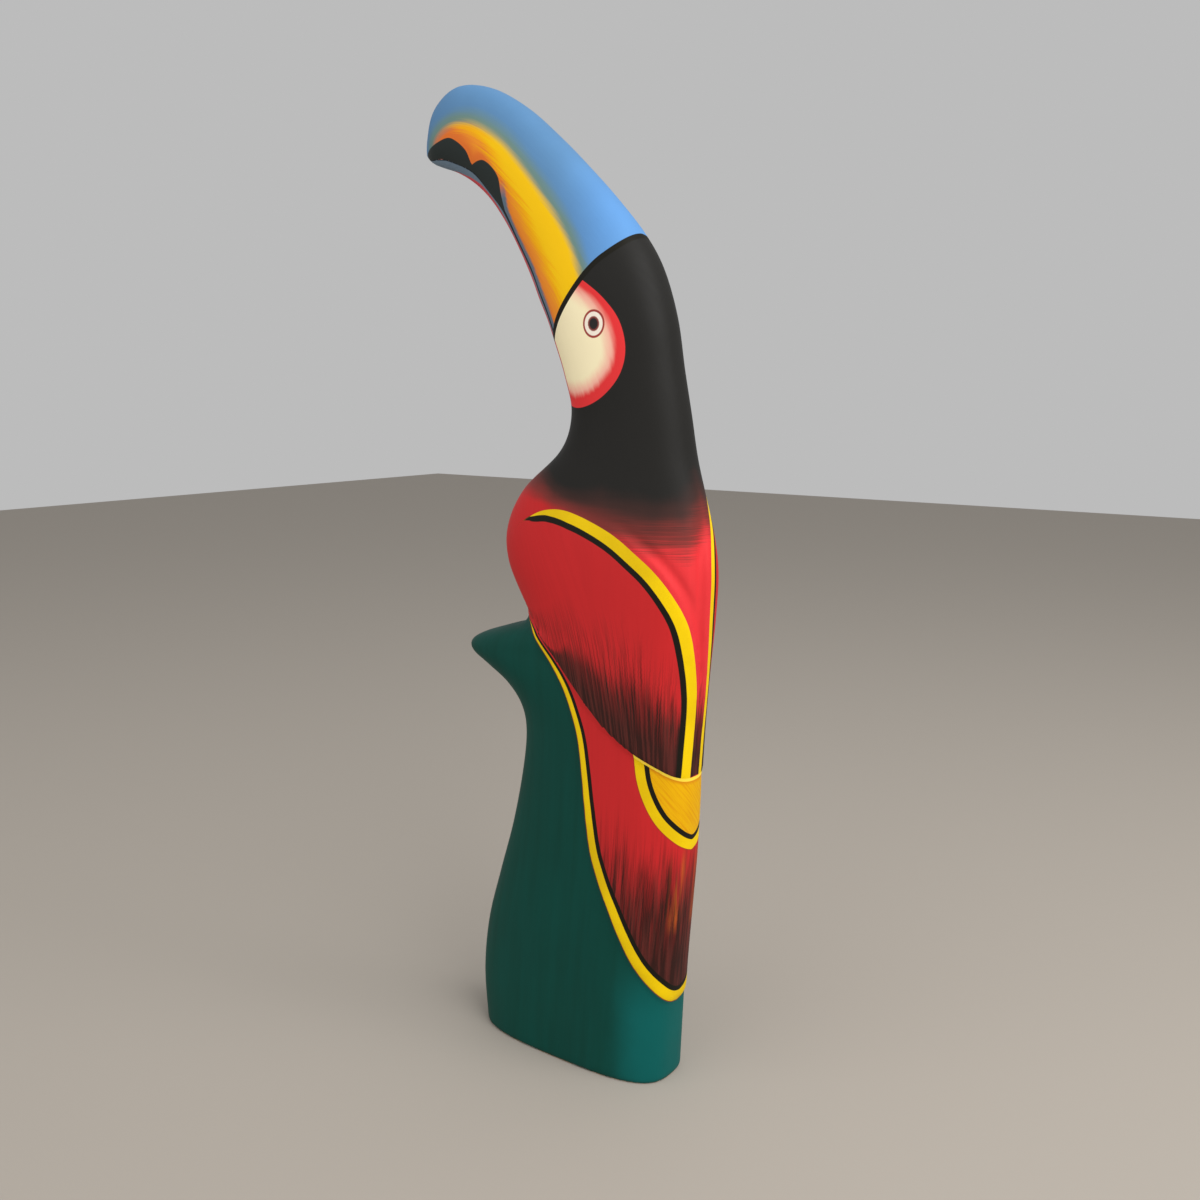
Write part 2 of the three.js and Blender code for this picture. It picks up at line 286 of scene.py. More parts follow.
class CarvingSettings(bpy.types.PropertyGroup):
    """Sizes and colours of the carving that a user would change."""

    grain: bpy.props.FloatProperty(
        name="Mesh Spacing", description="Distance between the points of the carved surface",
        default=1.28 * MM, min=0.8 * MM, max=5 * MM, unit="LENGTH", precision=5,
    )
    sanding: bpy.props.IntProperty(
        name="Sanding", description="Passes that round the carved edges", default=4, min=0, max=20,
    )
    unevenness: bpy.props.FloatProperty(
        name="Hand Unevenness", description="How far a painted edge wanders from its line",
        default=0.3 * MM, min=0, max=2 * MM, unit="LENGTH", precision=5,
    )
    red: bpy.props.FloatVectorProperty(
        name="Red", description="Paint of the wings and the tail", subtype="COLOR", size=3,
        default=srgb(196, 38, 40), min=0, max=1,
    )
    yellow: bpy.props.FloatVectorProperty(
        name="Yellow", description="Paint of the stripes and the side of the bill", subtype="COLOR", size=3,
        default=srgb(242, 204, 0), min=0, max=1,
    )
    blue: bpy.props.FloatVectorProperty(
        name="Blue", description="Paint of the top of the bill", subtype="COLOR", size=3,
        default=srgb(90, 141, 196), min=0, max=1,
    )
    green: bpy.props.FloatVectorProperty(
        name="Green", description="Paint of the stump", subtype="COLOR", size=3,
        default=srgb(0, 59, 49), min=0, max=1,
    )
    black: bpy.props.FloatVectorProperty(
        name="Black", description="Paint of the head and the dark lines", subtype="COLOR", size=3,
        default=srgb(32, 31, 29), min=0, max=1,
    )


class StageSettings(bpy.types.PropertyGroup):
    """The floor, the lights and the camera."""

    key: bpy.props.FloatProperty(
        name="Main Light", description="Soft light from behind the bird's back",
        default=22, min=0, unit="POWER",
    )
    fill: bpy.props.FloatProperty(
        name="Fill Light", description="Weak light from the camera's left", default=8.8, min=0, unit="POWER",
    )
    air: bpy.props.FloatProperty(
        name="Room Light", description="Even light from all round", default=0.6, min=0,
    )
    reach: bpy.props.FloatProperty(
        name="Floor Size", description="Half the width of the floor", default=3.0, min=1, unit="LENGTH",
    )


# Curves, sections and skins

def along_rows(rows, places):
    """Rows of numbers at fractional places in a table, on a smooth curve through its rows."""
    rows = np.asarray(rows, float)
    padded = np.vstack([2 * rows[0] - rows[1], rows, 2 * rows[-1] - rows[-2]])
    first = np.clip(np.floor(places).astype(int), 0, len(rows) - 2)
    t = (np.asarray(places) - first)[:, None]
    a, b, c, d = (padded[first + k] for k in range(4))
    bend = (2 * a - 5 * b + 4 * c - d) * t**2 + (3 * b - a - 3 * c + d) * t**3
    return b + 0.5 * ((c - a) * t + bend)


def smooth_line(points, spacing=SIDE_SPACING):
    """A smooth line through points, as points about the given spacing apart."""
    points = np.asarray(points, float)
    steps = np.maximum(1, np.ceil(np.linalg.norm(np.diff(points, axis=0), axis=1) / spacing)).astype(int)
    places = [k + np.arange(n) / n for k, n in enumerate(steps)]
    return along_rows(points, np.concatenate([*places, [len(points) - 1]]))


def smoothstep(values, low, high):
    t = np.clip((values - low) / (high - low), 0, 1)
    return t * t * (3 - 2 * t)


def loft(sections):
    """Rings of points over a table of sections, as [ring, side, xyz], with the sides' turns and the rows."""
    places = np.linspace(0, len(sections) - 1, (len(sections) - 1) * RINGS_PER_SECTION + 1)
    rows = along_rows(sections, places)
    turns = 2 * np.pi * np.arange(SIDES) / SIDES
    turns = turns - BACK_CROWDING * np.sin(turns)
    power = 2 / rows[:, 5:6]
    cosine, sine = np.cos(turns)[None], np.sin(turns)[None]
    back = 0.5 + 0.5 * np.sign(cosine) * np.abs(cosine) ** power
    x = rows[:, 4:5] * np.sign(sine) * np.abs(sine) ** power
    y = rows[:, 0:1] + (rows[:, 2:3] - rows[:, 0:1]) * back
    z = rows[:, 1:2] + (rows[:, 3:4] - rows[:, 1:2]) * back
    return np.stack([x, y, z], axis=2), turns, rows


def grown(sections, proud):
    return [
        (y0 - proud, z0, y1 + proud, z1, half + proud, square)
        for y0, z0, y1, z1, half, square in sections
    ]


def stump_rings():
    """The stump's skin, with the edge of its underside slightly worn."""
    rings = loft(STUMP)[0]
    rings[0, :, 2] = BASE_EDGE
    foot = loft(grown(STUMP[:1] * 2, -BASE_EDGE))[0][:1]
    return np.concatenate([foot, rings])


def bird_rings():
    """The bird's skin, sunk between the wings."""
    rings, turns, rows = loft(BIRD)
    height = rings[..., 2]
    turn = np.degrees(np.arctan2(np.sin(turns), np.cos(turns)))[None]
    from_left = np.interp(height, *zip(*LEFT_WING_BACK)) - turn
    from_right = np.interp(height, *zip(*RIGHT_WING_BACK)) + turn
    inside = np.radians(np.minimum(from_left, from_right)) * GIRTH_PER_TURN
    swell = 1 - MANTLE_SWELL * smoothstep(inside, *MANTLE_SWELL_SLOPE)
    depth = MANTLE_DEPTH * (1 - smoothstep(height, *MANTLE_FADE)) * swell * smoothstep(inside, *MANTLE_SLOPE)
    middle = (rows[:, 0:1] + rows[:, 2:3]) / 2
    inward = np.stack([-rings[..., 0] / rows[:, 4:5], middle - rings[..., 1], np.zeros_like(depth)], axis=2)
    inward /= np.maximum(np.linalg.norm(inward, axis=2, keepdims=True), 1e-9)
    return rings + inward * depth[..., None]


def ring_faces(count, sides):
    """Faces of a closed skin over rings of points: its sides and its two ends."""
    faces = []
    for r in range(count - 1):
        for s in range(sides):
            a, b = r * sides + s, r * sides + (s + 1) % sides
            faces.append((a, a + sides, b + sides, b))
    faces.append(tuple(range(sides)))
    faces.append(tuple(reversed(range((count - 1) * sides, count * sides))))
    return faces


def mesh_object(name, points, faces):
    """A linked mesh object from points in millimetres, with its faces pointing outwards."""
    mesh = bpy.data.meshes.new(name)
    mesh.from_pydata((np.asarray(points) * MM).tolist(), [], faces)
    tidy = bmesh.new()
    tidy.from_mesh(mesh)
    bmesh.ops.recalc_face_normals(tidy, faces=tidy.faces)
    tidy.to_mesh(mesh)
    tidy.free()
    made = bpy.data.objects.new(name, mesh)
    bpy.context.scene.collection.objects.link(made)
    return made


def skin_object(name, rings):
    return mesh_object(name, rings.reshape(-1, 3), ring_faces(len(rings), rings.shape[1]))


def slab_object(name, outline):
    """A slab right across the board with an outline given as (y, z)."""
    count = len(outline)
    points = [(x, y, z) for x in (-SLAB_HALF, SLAB_HALF) for y, z in outline]
    faces = [tuple(range(count)), tuple(reversed(range(count, 2 * count)))]
    faces += [(k, (k + 1) % count, (k + 1) % count + count, k + count) for k in range(count)]
    return mesh_object(name, points, faces)


def boolean(target, operation, other):
    modifier = target.modifiers.new(operation.title(), "BOOLEAN")
    modifier.operation = operation
    modifier.solver = "EXACT"
    modifier.object = other


def apply_modifiers(target):
    """Turns an object's modifiers into its mesh."""
    bpy.context.view_layer.update()
    evaluated = target.evaluated_get(bpy.context.evaluated_depsgraph_get())
    made = bpy.data.meshes.new_from_object(evaluated)
    target.modifiers.clear()
    target.data = made


def carved_mesh(settings):
    """The whole carving as one closed mesh with softly rounded edges."""
    stump = skin_object("stump_part", stump_rings())
    tail = skin_object("tail_part", loft(grown(STUMP, TAIL_PROUD))[0])
    bird = skin_object("bird_part", bird_rings())
    foot = smooth_line(WING_FOOT, CUT_SPACING)
    below_wings = slab_object("below_wings", [(foot[-1][0], 0), (foot[0][0], 0), *foot.tolist()])
    edge = smooth_line(TAIL_EDGE[:-1], CUT_SPACING)
    behind = [(FAR_BACK, TAIL_EDGE[-1][1]), (FAR_BACK, TAIL_EDGE[0][1]), *edge.tolist(), TAIL_EDGE[-1]]
    behind_tail = slab_object("behind_tail", behind)
    boolean(tail, "INTERSECT", behind_tail)
    boolean(bird, "DIFFERENCE", below_wings)
    boolean(stump, "UNION", tail)
    boolean(stump, "UNION", bird)
    remesh = stump.modifiers.new("Even Surface", "REMESH")
    remesh.mode = "VOXEL"
    remesh.voxel_size = settings.grain
    if settings.sanding:
        sanding = stump.modifiers.new("Sanding", "SMOOTH")
        sanding.factor = 0.5
        sanding.iterations = settings.sanding
    apply_modifiers(stump)
    mesh = stump.data
    for part in (stump, tail, bird, below_wings, behind_tail):
        bpy.data.objects.remove(part)
    return mesh


def points_of(mesh):
    places = np.empty(len(mesh.vertices) * 3, np.float32)
    mesh.vertices.foreach_get("co", places)
    return places.reshape(-1, 3).astype(float)


def fit_to_solid(mesh):
    """Lays the underside flat on the floor and gives the mesh the size of its CAD solid."""
    places = points_of(mesh)
    low, high = (np.array(corner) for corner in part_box(NODE))
    places[:, 2] -= places[:, 2].min()
    places[places[:, 2] < FLOOR_SNAP * MM, 2] = 0
    size = places.max(0) - places.min(0)
    places = (places - places.min(0)) / size * (high - low) + low
    mesh.vertices.foreach_set("co", places.astype(np.float32).ravel())
    mesh.update()


def require_closed(mesh):
    shape = bmesh.new()
    shape.from_mesh(mesh)
    open_edges = sum(1 for edge in shape.edges if len(edge.link_faces) != 2)
    volume = shape.calc_volume(signed=True)
    shape.free()
    if open_edges or volume <= 0:
        raise RuntimeError(f"the carving isn't a closed solid: {open_edges} open edges, volume {volume:.6f}")
    if len(mesh.polygons) * 2 > MOST_TRIANGLES:
        raise RuntimeError(f"the carving has too many faces: {len(mesh.polygons)}")


# Distances from the painted lines, kept on the carving's points

def gaps_from(points, line):
    """The shortest way to each point from a line, and the number of the run that it starts on."""
    starts, runs = line[:-1], np.diff(line, axis=0)
    squares = np.maximum((runs**2).sum(1), 1e-9)
    gaps, nearest = np.empty_like(points), np.empty(len(points), int)
    for part in np.array_split(np.arange(len(points)), max(1, len(points) // BATCH)):
        offset = points[part, None] - starts
        share = np.clip((offset * runs).sum(2) / squares, 0, 1)
        gap = offset - share[..., None] * runs
        nearest[part] = (gap**2).sum(2).argmin(1)
        gaps[part] = gap[np.arange(len(part)), nearest[part]]
    return gaps, nearest


class Surface:
    """The carving's points in millimetres, and the same with its right side folded onto its left."""

    def __init__(self, mesh):
        self.points = points_of(mesh) / MM
        faces = [tuple(face.vertices) for face in mesh.polygons]
        self.tree = BVHTree.FromPolygons(self.points.tolist(), faces)
        self.folded = self.points.copy()
        self.folded[:, 0] = np.abs(self.folded[:, 0])

    def under(self, point):
        """The place and outward normal on the surface that a line's point stands for."""
        if len(point) == 2:
            place, normal, _, _ = self.tree.ray_cast(Vector((SLAB_HALF, *point)), Vector((-1, 0, 0)))
            if place is not None and place.x > 0:
                return place, normal
            point = (0, *point)
        place, normal, _, _ = self.tree.find_nearest(Vector(point))
        return place, normal

    def lay(self, line, evening):
        """A line through places on the surface, evened out that many times, with its normals."""
        rough = smooth_line([tuple(self.under(point)[0]) for point in line], LAID_SPACING)
        for _ in range(evening):
            padded = np.pad(rough, ((3, 3), (0, 0)), mode="reflect", reflect_type="odd")
            rough = np.stack([np.convolve(column, np.full(7, 1 / 7), "valid") for column in padded.T], axis=1)
        places, normals = zip(*(self.under(tuple(point)) for point in rough))
        return np.array([tuple(place) for place in places]), np.array([tuple(normal) for normal in normals])

    def distances(self, line, inside, folded=True, evening=2):
        """Signed distances from a line; inside names the side of its run, from outside, that is positive."""
        places, normals = self.lay(line, evening)
        gaps, nearest = gaps_from(self.folded if folded else self.points, places)
        left = np.cross(normals[:-1] + normals[1:], np.diff(places, axis=0))
        result = np.sign((gaps * left[nearest]).sum(1)) * np.linalg.norm(gaps, axis=1)
        return result if inside == "left" else -result

    def within(self, outline):
        """True where a point lies within an outline seen from the side."""
        y, z = self.points[:, 1], self.points[:, 2]
        odd = np.zeros(len(y), bool)
        for (y0, z0), (y1, z1) in zip(outline, np.roll(outline, -1, axis=0)):
            crosses = (z0 > z) != (z1 > z)
            rise = z1 - z0 if z1 != z0 else 1e-9
            odd ^= crosses & (y < (y1 - y0) * (z - z0) / rise + y0)
        return odd

    def on_rings(self, rings):
        """For each point its girth, in millimetres round a loft from the spine, its share of the way to the
        front, and its ring. The girth is positive on the left.
        """
        count, sides = rings.shape[:2]
        flat = rings.reshape(-1, 3)
        quads = ring_faces(count, sides)[:-2]
        tree = BVHTree.FromPolygons(flat.tolist(), quads)
        steps = np.linalg.norm(np.roll(rings, -1, axis=1) - rings, axis=2)
        whole = steps.sum(1)
        before = np.cumsum(steps, axis=1) - steps
        girth, share, ring = (np.empty(len(self.points)) for _ in range(3))
        for k, point in enumerate(self.points):
            _, _, face, _ = tree.find_nearest(Vector(point))
            r, s = divmod(face, sides)
            corner, across, up = flat[quads[face][0]], flat[quads[face][3]], flat[quads[face][1]]
            u = np.dot(point - corner, across - corner) / max(np.dot(across - corner, across - corner), 1e-9)
            v = np.dot(point - corner, up - corner) / max(np.dot(up - corner, up - corner), 1e-9)
            girth[k] = before[r, s] + min(max(u, 0), 1) * steps[r, s]
            girth[k] -= whole[r] if girth[k] > whole[r] / 2 else 0
            share[k] = abs(girth[k]) / whole[r] * 2
            ring[k] = r + min(max(v, 0), 1)
        return girth, share, ring


def side_distance(points, line):
    """Signed distance in the side view from a line that runs backwards, positive above it."""
    line = smooth_line(line)
    gaps, nearest = gaps_from(points[:, 1:], line)
    runs = np.diff(line, axis=0)[nearest]
    side = np.sign(runs[:, 0] * gaps[:, 1] - runs[:, 1] * gaps[:, 0])
    return side * np.linalg.norm(gaps, axis=1)


def painted_fields(mesh):
    """Every distance and coordinate that the paint is laid out by, in millimetres unless it is a share."""
    surface = Surface(mesh)
    x, y, z = surface.points.T
    foot = side_distance(surface.points, WING_FOOT)
    left_wing = surface.distances(LEFT_STRIPE, "right", folded=False)
    right_wing = surface.distances(RIGHT_STRIPE, "left", folded=False)
    on_left = np.abs(left_wing) < np.abs(right_wing)
    wing = np.where(on_left, left_wing, right_wing)
    yellow = np.where(on_left, np.interp(y, *STRIPE_YELLOW), np.interp(y, *RIGHT_YELLOW))
    black = np.where(on_left, np.interp(y, *STRIPE_BLACK), np.interp(y, *RIGHT_BLACK))
    tail = surface.distances([*TAIL_LINE, TAIL_END], "left")
    rump = surface.distances([*RUMP_LINE, RUMP_END], "left")
    bill_line = surface.distances([BILL_LINE_TOP, *BILL_LINE, BILL_LINE_END], "left")
    patch_low, gape_rest = GAPE_LINE[:PATCH_LOW_COUNT], GAPE_LINE[PATCH_LOW_COUNT:]
    beak_low = surface.distances([*PATCH_TOP, *PATCH_BACK[1:], *gape_rest], "left", evening=0)
    gape = surface.distances(GAPE_LINE, "left", evening=1)
    patch_lines = (PATCH_TOP, PATCH_BACK, patch_low)
    outline = np.vstack([smooth_line(PATCH_TOP), smooth_line(PATCH_BACK), smooth_line(patch_low)[::-1]])
    edges = [np.abs(surface.distances(line, "left", evening=0)) for line in patch_lines]
    patch = np.where(surface.within(outline), 1, -1) * np.min(edges, axis=0)
    on_bill = bill_line < 0
    stump_girth, _, _ = surface.on_rings(stump_rings())
    girth, share, ring = surface.on_rings(bird_rings())
    place = ring / RINGS_PER_SECTION
    sections = np.array(BIRD)
    half = np.interp(place, np.arange(len(BIRD)), sections[:, 4])
    middles = (sections[:, :2] + sections[:, 2:4]) / 2
    bill_run = np.append(0, np.cumsum(np.linalg.norm(np.diff(middles, axis=0), axis=1)))
    in_front = share > 0.5
    keel = np.where(in_front, np.abs(x) - half * np.interp(y, *KEEL_SHARE), SLAB_HALF)
    rise = z - np.interp(y, *zip(*smooth_line(WING_FOOT)))
    on_tail = z - TAIL_STROKES[0]
    on_mantle = (wing < 0) & (y > MANTLE_FRONT)
    strokes = rise / np.where(on_mantle, MANTLE_RISE, np.interp(y, *STROKE_RISE))
    strokes = np.where(foot > 0, strokes, on_tail / (TAIL_STROKES[1] - TAIL_STROKES[0]))
    hairs = np.where(foot > 0, rise / np.interp(y, *HAIR_RISE), on_tail / (TAIL_STROKES[2] - TAIL_STROKES[0]))
    peak = NECK_PEAK * np.clip(1 - np.abs(x) / NECK_PEAK_HALF, 0, 1)
    lean = np.where(foot > 0, np.interp(y, *STROKE_LEAN), 0) * np.clip(rise, 0, STROKE_LEAN_TOP)
    girth = np.where(foot > 0, girth, stump_girth)
    return {
        "foot": foot,
        "wing": wing,
        "wing_yellow": wing - yellow,
        "wing_black": wing - yellow - black,
        "tail": tail,
        "tail_yellow": tail - np.interp(z, *TAIL_YELLOW),
        "tail_black": tail - np.interp(z, *TAIL_YELLOW) - np.interp(z, *TAIL_BLACK),
        "rump": rump,
        "bill_line": bill_line,
        "beak_low": beak_low,
        "gape": gape,
        "gape_dark": np.interp(y, *GAPE_HALF) - np.abs(gape),
        "patch": patch,
        "blend": surface.distances(BLEND_LINE, "right"),
        "gold": surface.distances(GOLD_LINE, "left"),
        "face": surface.distances([*FACE_LINE, FACE_END], "right"),
        "eye": np.hypot(y - EYE[0], (z - EYE[1]) / EYE_HEIGHT),
        "keel": keel,
        "neck": (z - np.interp(y, *NECK_FADE) - peak) * np.interp(y, *NECK_CRISP),
        "strokes": strokes,
        "hairs": hairs,
        "girth": girth,
        "round": np.where(on_bill, girth, lean - np.abs(girth) + x * SIDES_APART),
        "run": np.where(on_bill, np.interp(place, np.arange(len(BIRD)), bill_run), z),
        "under": (z < UNDERSIDE).astype(float),
    }


def carve_wing_edges(mesh, wing):
    """Raises a fine rim beside the wings' back edges and cuts a groove beyond it."""
    places = points_of(mesh) / MM
    normals = np.empty(len(mesh.vertices) * 3, np.float32)
    mesh.vertex_normals.foreach_get("vector", normals)
    reach = smoothstep(places[:, 1], *RIM_FROM_FRONT) * smoothstep(places[:, 2], *RIM_FROM_FOOT)
    reach *= 1 - smoothstep(places[:, 2], *RIM_TO_SHOULDER)
    for height, middle, breadth in (WING_RIM, WING_GROOVE):
        lift = height * np.exp(-(((wing + middle) / breadth) ** 2)) * reach
        places += normals.reshape(-1, 3) * lift[:, None]
    mesh.vertices.foreach_set("co", (places * MM).astype(np.float32).ravel())
    mesh.update()


def keep_fields(mesh, fields):
    for name, values in fields.items():
        attribute = mesh.attributes.new(name, "FLOAT", "POINT")
        attribute.data.foreach_set("value", values.astype(np.float32))


# Paint, written as expressions on values

class Value:
    """A number or a colour at each point of a surface; operators on numbers add Math nodes."""

    def __init__(self, mixer, socket):
        self.mixer = mixer
        self.socket = socket

    def __add__(self, other):
        return self.mixer.math("ADD", self, other)

    def __sub__(self, other):
        return self.mixer.math("SUBTRACT", self, other)

    def __rsub__(self, other):
        return self.mixer.math("SUBTRACT", other, self)

    def __mul__(self, other):
        return self.mixer.math("MULTIPLY", self, other)

    def __truediv__(self, other):
        return self.mixer.math("DIVIDE", self, other)


class Mixer:
    """One material's nodes."""

    def __init__(self, name):
        self.material = bpy.data.materials.new(name)
        self.material.use_nodes = True
        self.nodes = self.material.node_tree.nodes
        self.links = self.material.node_tree.links
        self.nodes.clear()

    def node(self, kind, settings=None, sockets=None):
        """Adds a node, sets its settings first and then its sockets, from values or from links."""
        node = self.nodes.new(kind)
        for name, value in (settings or {}).items():
            setattr(node, name, value)
        for key, value in (sockets or {}).items():
            if isinstance(value, Value):
                self.links.new(value.socket, node.inputs[key])
            else:
                node.inputs[key].default_value = value
        return node

    def value(self, kind, settings=None, sockets=None, output=0):
        return Value(self, self.node(kind, settings, sockets).outputs[output])

    def math(self, operation, a, b):
        return self.value("ShaderNodeMath", {"operation": operation}, {0: a, 1: b})

    def field(self, name):
        return self.value("ShaderNodeAttribute", {"attribute_name": name}, output="Fac")

    def step(self, value, low, high, shape="SMOOTHSTEP"):
        """0 below low, 1 above high, and smooth between them."""
        return self.value("ShaderNodeMapRange", {"interpolation_type": shape}, {0: value, 1: low, 2: high})

    def line(self, value, low, high):
        """0 below low, 1 above high, and straight between them."""
        return self.step(value, low, high, "LINEAR")

    def between(self, value, low, low_end, high_start, high):
        """0 outside low to high, and 1 between the two inner ends."""
        return self.step(value, low, low_end) * (1 - self.step(value, high_start, high))

    def vector(self, x, y, z):
        return self.value("ShaderNodeCombineXYZ", None, {0: x, 1: y, 2: z})

    def noise(self, place, scale=1.0, detail=2.0, roughness=0.5):
        """Noise of about 0 to 1."""
        sockets = {"Vector": place, "Scale": scale, "Detail": detail, "Roughness": roughness}
        return self.value("ShaderNodeTexNoise", {"noise_dimensions": "3D"}, sockets)

    def blend(self, share, under, over):
        """The colour over another by a share of 0 to 1."""
        colours = {6: self.colour(under), 7: self.colour(over), 0: share}
        return self.value("ShaderNodeMix", {"data_type": "RGBA"}, colours, output=2)

    def shade(self, colour, factor):
        """A colour made lighter or darker by a factor."""
        return self.value("ShaderNodeVectorMath", {"operation": "SCALE"}, {0: colour, "Scale": factor})

    def finish(self, sockets):
        """Joins one shader with these sockets to the output and returns the material."""
        shader = self.value("ShaderNodeBsdfPrincipled", None, sockets)
        self.node("ShaderNodeOutputMaterial", None, {0: shader})
        return self.material

    @staticmethod
    def colour(value):
        return value if isinstance(value, Value) else (*value[:3], 1.0)


EDGE = 0.28

CREAM = srgb(255, 242, 200)
FACE_RED = srgb(228, 52, 54)
FACE_PINK = srgb(248, 176, 158)
EYE_RED = srgb(160, 58, 52)
EYE_WHITE = srgb(250, 238, 222)
PUPIL_DARK = srgb(40, 38, 38)
PUPIL_EDGE = srgb(140, 66, 60)
TIP_BLUE = srgb(87, 130, 171)
ORANGE = srgb(244, 146, 42)
DEEP_ORANGE = srgb(232, 118, 44)
GOLD = srgb(250, 176, 0)
BLEND_GREEN = srgb(108, 137, 130)
BILL_GREY = srgb(98, 118, 136)
PALE_GREY = srgb(118, 138, 156)
KEEL_RED = srgb(205, 70, 78)
GAPE_DARK = srgb(24, 30, 36)
PATCH_BLACK = srgb(40, 47, 46)
MANTLE_SHEEN_RED = srgb(222, 52, 56)
BROWN = srgb(50, 24, 20)
LIGHT_BROWN = srgb(86, 38, 33)
FADE_DARK = srgb(66, 40, 36)
FADE_RED = srgb(126, 48, 44)
RUST = srgb(150, 52, 24)
OLIVE = srgb(112, 84, 30)
STREAK_ORANGE = srgb(225, 90, 34)
BAND_SHADE = srgb(224, 186, 0)
RUMP_GOLD = srgb(228, 172, 0)
RUMP_ORANGE = srgb(214, 140, 0)
RUMP_SHADE = srgb(216, 138, 8)
STEP_HIGHLIGHT_YELLOW = srgb(255, 222, 70)
LINE_BLACK = srgb(22, 20, 12)
BILL_YELLOW = srgb(252, 200, 0)
STUMP_LIGHT = srgb(0, 70, 62)
STUMP_LIT_GREEN = srgb(4, 96, 93)
RAW_WOOD = srgb(214, 184, 140)
RAW_WOOD_DARK = srgb(184, 148, 104)

# Where light is painted on the stump as a lighter teal low on its back: from this y on, and up to this height
LIT_PATCH_FROM_BACK = (38, 58)
LIT_PATCH_TO_TOP = (42, 84)
# The y over which a painted sheen makes the mantle's red lighter and pinker
MANTLE_SHEEN_BACK = (20, 50)
# The tail's warm streaks: their distances from the spine and their heights
WARM_BESIDE_SPINE = (3, 6, 9, 13)
WARM_HEIGHTS = (80, 92, 114, 130)
# The level marks under the neck's black: from this y on, and at these levels
MARKS_BACK = (30, 50)
MARKS_LEVEL = (-20, -10, 0, 8)
# The levels above the neck's fade where the wings' paint ends and the bill's starts
WINGS_END = (25, 27)
BILL_START = (30, 32)
# The face's red border: its width, how much narrower it is at the top, and over which heights
FACE_BORDER = (5.4, 2.1)
FACE_NARROWS = (368, 392)
# The fields whose painted edges wander a little from their lines
HAND_PAINTED = (
    "wing", "wing_yellow", "wing_black", "tail", "tail_yellow", "tail_black", "rump", "bill_line",
    "beak_low", "gape", "gape_dark", "patch", "face", "keel",
)


